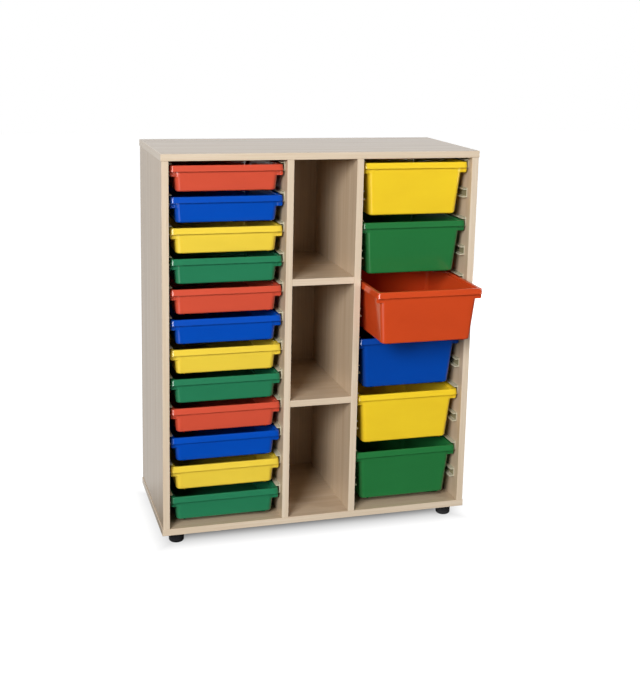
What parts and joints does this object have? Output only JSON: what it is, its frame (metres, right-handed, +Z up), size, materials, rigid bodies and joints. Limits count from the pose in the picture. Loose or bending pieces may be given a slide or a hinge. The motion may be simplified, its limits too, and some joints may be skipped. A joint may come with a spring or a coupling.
{
  "type": "classroom tray storage unit",
  "caption": "Free-standing board cabinet with a bay of shallow trays, a column of open cubbies and a bay of deep trays; each moulded tray slides forward on plastic runners.",
  "frame": {"origin": "on the floor, under the middle of the unit's box with its one drawn tray", "axes": "+Z up, +Y from the front to the back, +X to the right seen from the front"},
  "size_m": [0.906, 0.5284, 1.104],
  "materials": {
    "board": "matt maple-look laminate",
    "runner": "satin",
    "foot": "satin",
    "tray_red": "satin moulded",
    "tray_blue": "satin moulded",
    "tray_yellow": "satin moulded",
    "tray_green": "satin moulded"
  },
  "bodies": {
    "cabinet": {"top_panel": "board", "bottom_panel": "board", "left_side_panel": "board", "left_divider": "board", "right_divider": "board", "right_side_panel": "board", "shelf_01": "board", "shelf_02": "board", "back_panel": "board", "foot_front_left": "foot", "foot_front_right": "foot", "foot_rear_left": "foot", "foot_rear_right": "foot", "runner_outer_01": "runner", "runner_outer_02": "runner", "runner_outer_03": "runner", "runner_outer_04": "runner", "runner_outer_05": "runner", "runner_outer_06": "runner", "runner_outer_07": "runner", "runner_outer_08": "runner", "runner_outer_09": "runner", "runner_outer_10": "runner", "runner_outer_11": "runner", "runner_outer_12": "runner", "runner_inner_01": "runner", "runner_inner_02": "runner", "runner_inner_03": "runner", "runner_inner_04": "runner", "runner_inner_05": "runner", "runner_inner_06": "runner", "runner_inner_07": "runner", "runner_inner_08": "runner", "runner_inner_09": "runner", "runner_inner_10": "runner", "runner_inner_11": "runner", "runner_inner_12": "runner"},
    "shallow_tray_01": {"shallow_tray_01": "tray_red"},
    "shallow_tray_02": {"shallow_tray_02": "tray_blue"},
    "shallow_tray_03": {"shallow_tray_03": "tray_yellow"},
    "shallow_tray_04": {"shallow_tray_04": "tray_green"},
    "shallow_tray_05": {"shallow_tray_05": "tray_red"},
    "shallow_tray_06": {"shallow_tray_06": "tray_blue"},
    "shallow_tray_07": {"shallow_tray_07": "tray_yellow"},
    "shallow_tray_08": {"shallow_tray_08": "tray_green"},
    "shallow_tray_09": {"shallow_tray_09": "tray_red"},
    "shallow_tray_10": {"shallow_tray_10": "tray_blue"},
    "shallow_tray_11": {"shallow_tray_11": "tray_yellow"},
    "shallow_tray_12": {"shallow_tray_12": "tray_green"},
    "deep_tray_01": {"deep_tray_01": "tray_yellow"},
    "deep_tray_02": {"deep_tray_02": "tray_green"},
    "deep_tray_03": {"deep_tray_03": "tray_red"},
    "deep_tray_04": {"deep_tray_04": "tray_blue"},
    "deep_tray_05": {"deep_tray_05": "tray_yellow"},
    "deep_tray_06": {"deep_tray_06": "tray_green"}
  },
  "joints": [
    {"name": "shallow_tray_01_slide", "type": "slide", "parent": "cabinet", "child": "shallow_tray_01", "axis": [0, -1, 0], "range_m": [0, 0.3]},
    {"name": "shallow_tray_02_slide", "type": "slide", "parent": "cabinet", "child": "shallow_tray_02", "axis": [0, -1, 0], "range_m": [0, 0.3]},
    {"name": "shallow_tray_03_slide", "type": "slide", "parent": "cabinet", "child": "shallow_tray_03", "axis": [0, -1, 0], "range_m": [0, 0.3]},
    {"name": "shallow_tray_04_slide", "type": "slide", "parent": "cabinet", "child": "shallow_tray_04", "axis": [0, -1, 0], "range_m": [0, 0.3]},
    {"name": "shallow_tray_05_slide", "type": "slide", "parent": "cabinet", "child": "shallow_tray_05", "axis": [0, -1, 0], "range_m": [0, 0.3]},
    {"name": "shallow_tray_06_slide", "type": "slide", "parent": "cabinet", "child": "shallow_tray_06", "axis": [0, -1, 0], "range_m": [0, 0.3]},
    {"name": "shallow_tray_07_slide", "type": "slide", "parent": "cabinet", "child": "shallow_tray_07", "axis": [0, -1, 0], "range_m": [0, 0.3]},
    {"name": "shallow_tray_08_slide", "type": "slide", "parent": "cabinet", "child": "shallow_tray_08", "axis": [0, -1, 0], "range_m": [0, 0.3]},
    {"name": "shallow_tray_09_slide", "type": "slide", "parent": "cabinet", "child": "shallow_tray_09", "axis": [0, -1, 0], "range_m": [0, 0.3]},
    {"name": "shallow_tray_10_slide", "type": "slide", "parent": "cabinet", "child": "shallow_tray_10", "axis": [0, -1, 0], "range_m": [0, 0.3]},
    {"name": "shallow_tray_11_slide", "type": "slide", "parent": "cabinet", "child": "shallow_tray_11", "axis": [0, -1, 0], "range_m": [0, 0.3]},
    {"name": "shallow_tray_12_slide", "type": "slide", "parent": "cabinet", "child": "shallow_tray_12", "axis": [0, -1, 0], "range_m": [0, 0.3]},
    {"name": "deep_tray_01_slide", "type": "slide", "parent": "cabinet", "child": "deep_tray_01", "axis": [0, -1, 0], "range_m": [0, 0.3]},
    {"name": "deep_tray_02_slide", "type": "slide", "parent": "cabinet", "child": "deep_tray_02", "axis": [0, -1, 0], "range_m": [0, 0.3]},
    {"name": "deep_tray_03_slide", "type": "slide", "parent": "cabinet", "child": "deep_tray_03", "axis": [0, -1, 0], "range_m": [-0.142, 0.158]},
    {"name": "deep_tray_04_slide", "type": "slide", "parent": "cabinet", "child": "deep_tray_04", "axis": [0, -1, 0], "range_m": [0, 0.3]},
    {"name": "deep_tray_05_slide", "type": "slide", "parent": "cabinet", "child": "deep_tray_05", "axis": [0, -1, 0], "range_m": [0, 0.3]},
    {"name": "deep_tray_06_slide", "type": "slide", "parent": "cabinet", "child": "deep_tray_06", "axis": [0, -1, 0], "range_m": [0, 0.3]}
  ]
}
